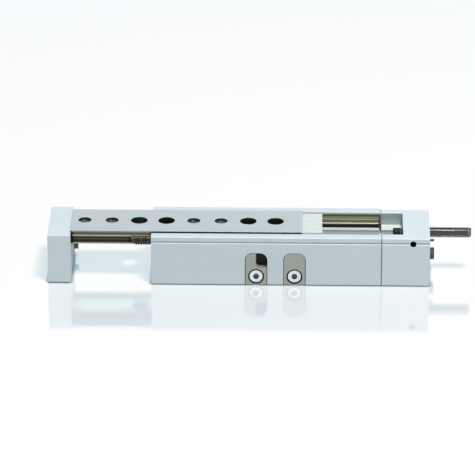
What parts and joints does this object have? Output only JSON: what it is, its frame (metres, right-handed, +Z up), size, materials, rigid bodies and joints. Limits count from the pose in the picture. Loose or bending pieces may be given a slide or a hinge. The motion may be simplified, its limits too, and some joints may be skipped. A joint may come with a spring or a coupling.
{
  "type": "pneumatic slide table",
  "caption": "Compact air-driven slide: an inverted-U table on ball-cage guides runs in a channel-shaped cylinder body with an end plate and a stroke adjuster.",
  "frame": {"origin": "on the underside, at the centre of the four mounting holes of the housing", "axes": "+X along the stroke, from the end plate towards the stroke adjuster; +Y towards the side with the air ports; +Z up, out of the table"},
  "size_m": [0.2322, 0.0418, 0.0291],
  "materials": {
    "anodised_housing": "fine matt silver anodised extrusion",
    "anodised_cover": "fine matt silver anodised, milled",
    "table_steel": "fine ground stainless steel",
    "rail_steel": "ground, hardened steel",
    "cage_steel": "stamped sheet, dark",
    "ball_steel": "polished bearing balls",
    "screw_steel": "bright zinc-plated",
    "bolt_steel": "dull nickel-plated",
    "black_steel": "black oxide",
    "spring_steel": "phosphated spring steel",
    "ground_steel": "ground and hard chromed",
    "plate_grey": "matt grey anodised",
    "piston_aluminium": "turned",
    "brass": "turned",
    "white_plastic": "smooth moulded",
    "black_plastic": "smooth moulded",
    "black_rubber": "smooth moulded"
  },
  "bodies": {
    "housing": {"housing": "anodised_housing", "guide_rail_front": "rail_steel", "guide_rail_rear": "rail_steel", "head_cover": "anodised_cover", "head_gasket": "black_rubber", "head_cover_screws": "screw_steel", "tunnel_cap": "black_plastic", "rod_gland": "brass", "rod_seal": "black_rubber", "gland_o_ring": "black_rubber", "gland_retaining_ring": "spring_steel", "side_plate_left": "plate_grey", "side_plate_right": "plate_grey", "side_plate_gaskets": "black_rubber", "side_plate_screws": "screw_steel", "port_plug": "screw_steel", "port_plug_washer": "black_rubber", "throttle_needle": "screw_steel", "adjuster_lock_screw": "black_steel", "adjuster_lock_pad": "brass"},
    "table": {"table": "table_steel", "end_plate": "anodised_cover", "end_plate_screws": "screw_steel", "end_plate_stop": "bolt_steel", "table_end_cap": "white_plastic", "end_cap_screws": "screw_steel", "driver_block": "bolt_steel", "driver_screws": "screw_steel", "rod_nut": "screw_steel", "piston_rod": "ground_steel", "piston": "piston_aluminium", "piston_seals": "black_rubber", "piston_bumpers": "black_rubber", "piston_nut": "screw_steel"},
    "cage_front": {"ball_cage_front": "cage_steel", "balls_front": "ball_steel"},
    "cage_rear": {"ball_cage_rear": "cage_steel", "balls_rear": "ball_steel"},
    "adjuster_tip": {"adjuster_tip": "black_rubber"},
    "adjuster_bolt": {"adjuster_bolt": "bolt_steel"}
  },
  "joints": [
    {"name": "table_slide", "type": "slide", "parent": "housing", "child": "table", "axis": [1, 0, 0], "range_m": [0, 0.0387]},
    {"name": "cage_front_slide", "type": "slide", "parent": "housing", "child": "cage_front", "axis": [1, 0, 0], "range_m": [0, 0.01935]},
    {"name": "cage_rear_slide", "type": "slide", "parent": "housing", "child": "cage_rear", "axis": [1, 0, 0], "range_m": [0, 0.01935]},
    {"name": "adjuster_advance", "type": "slide", "parent": "housing", "child": "adjuster_tip", "axis": [1, 0, 0], "range_m": [0, 0.004]},
    {"name": "adjuster_turn", "type": "hinge", "parent": "adjuster_tip", "child": "adjuster_bolt", "pos_m": [0.0733, 0, 0.0233], "axis": [1, 0, 0], "range_deg": [0, 1440]}
  ],
  "couplings": [
    {"joint": "cage_front_slide", "follows": "table_slide", "ratio": 0.5},
    {"joint": "cage_rear_slide", "follows": "table_slide", "ratio": 0.5},
    {"joint": "adjuster_turn", "follows": "adjuster_advance", "rad_per_m": 6283.2}
  ]
}
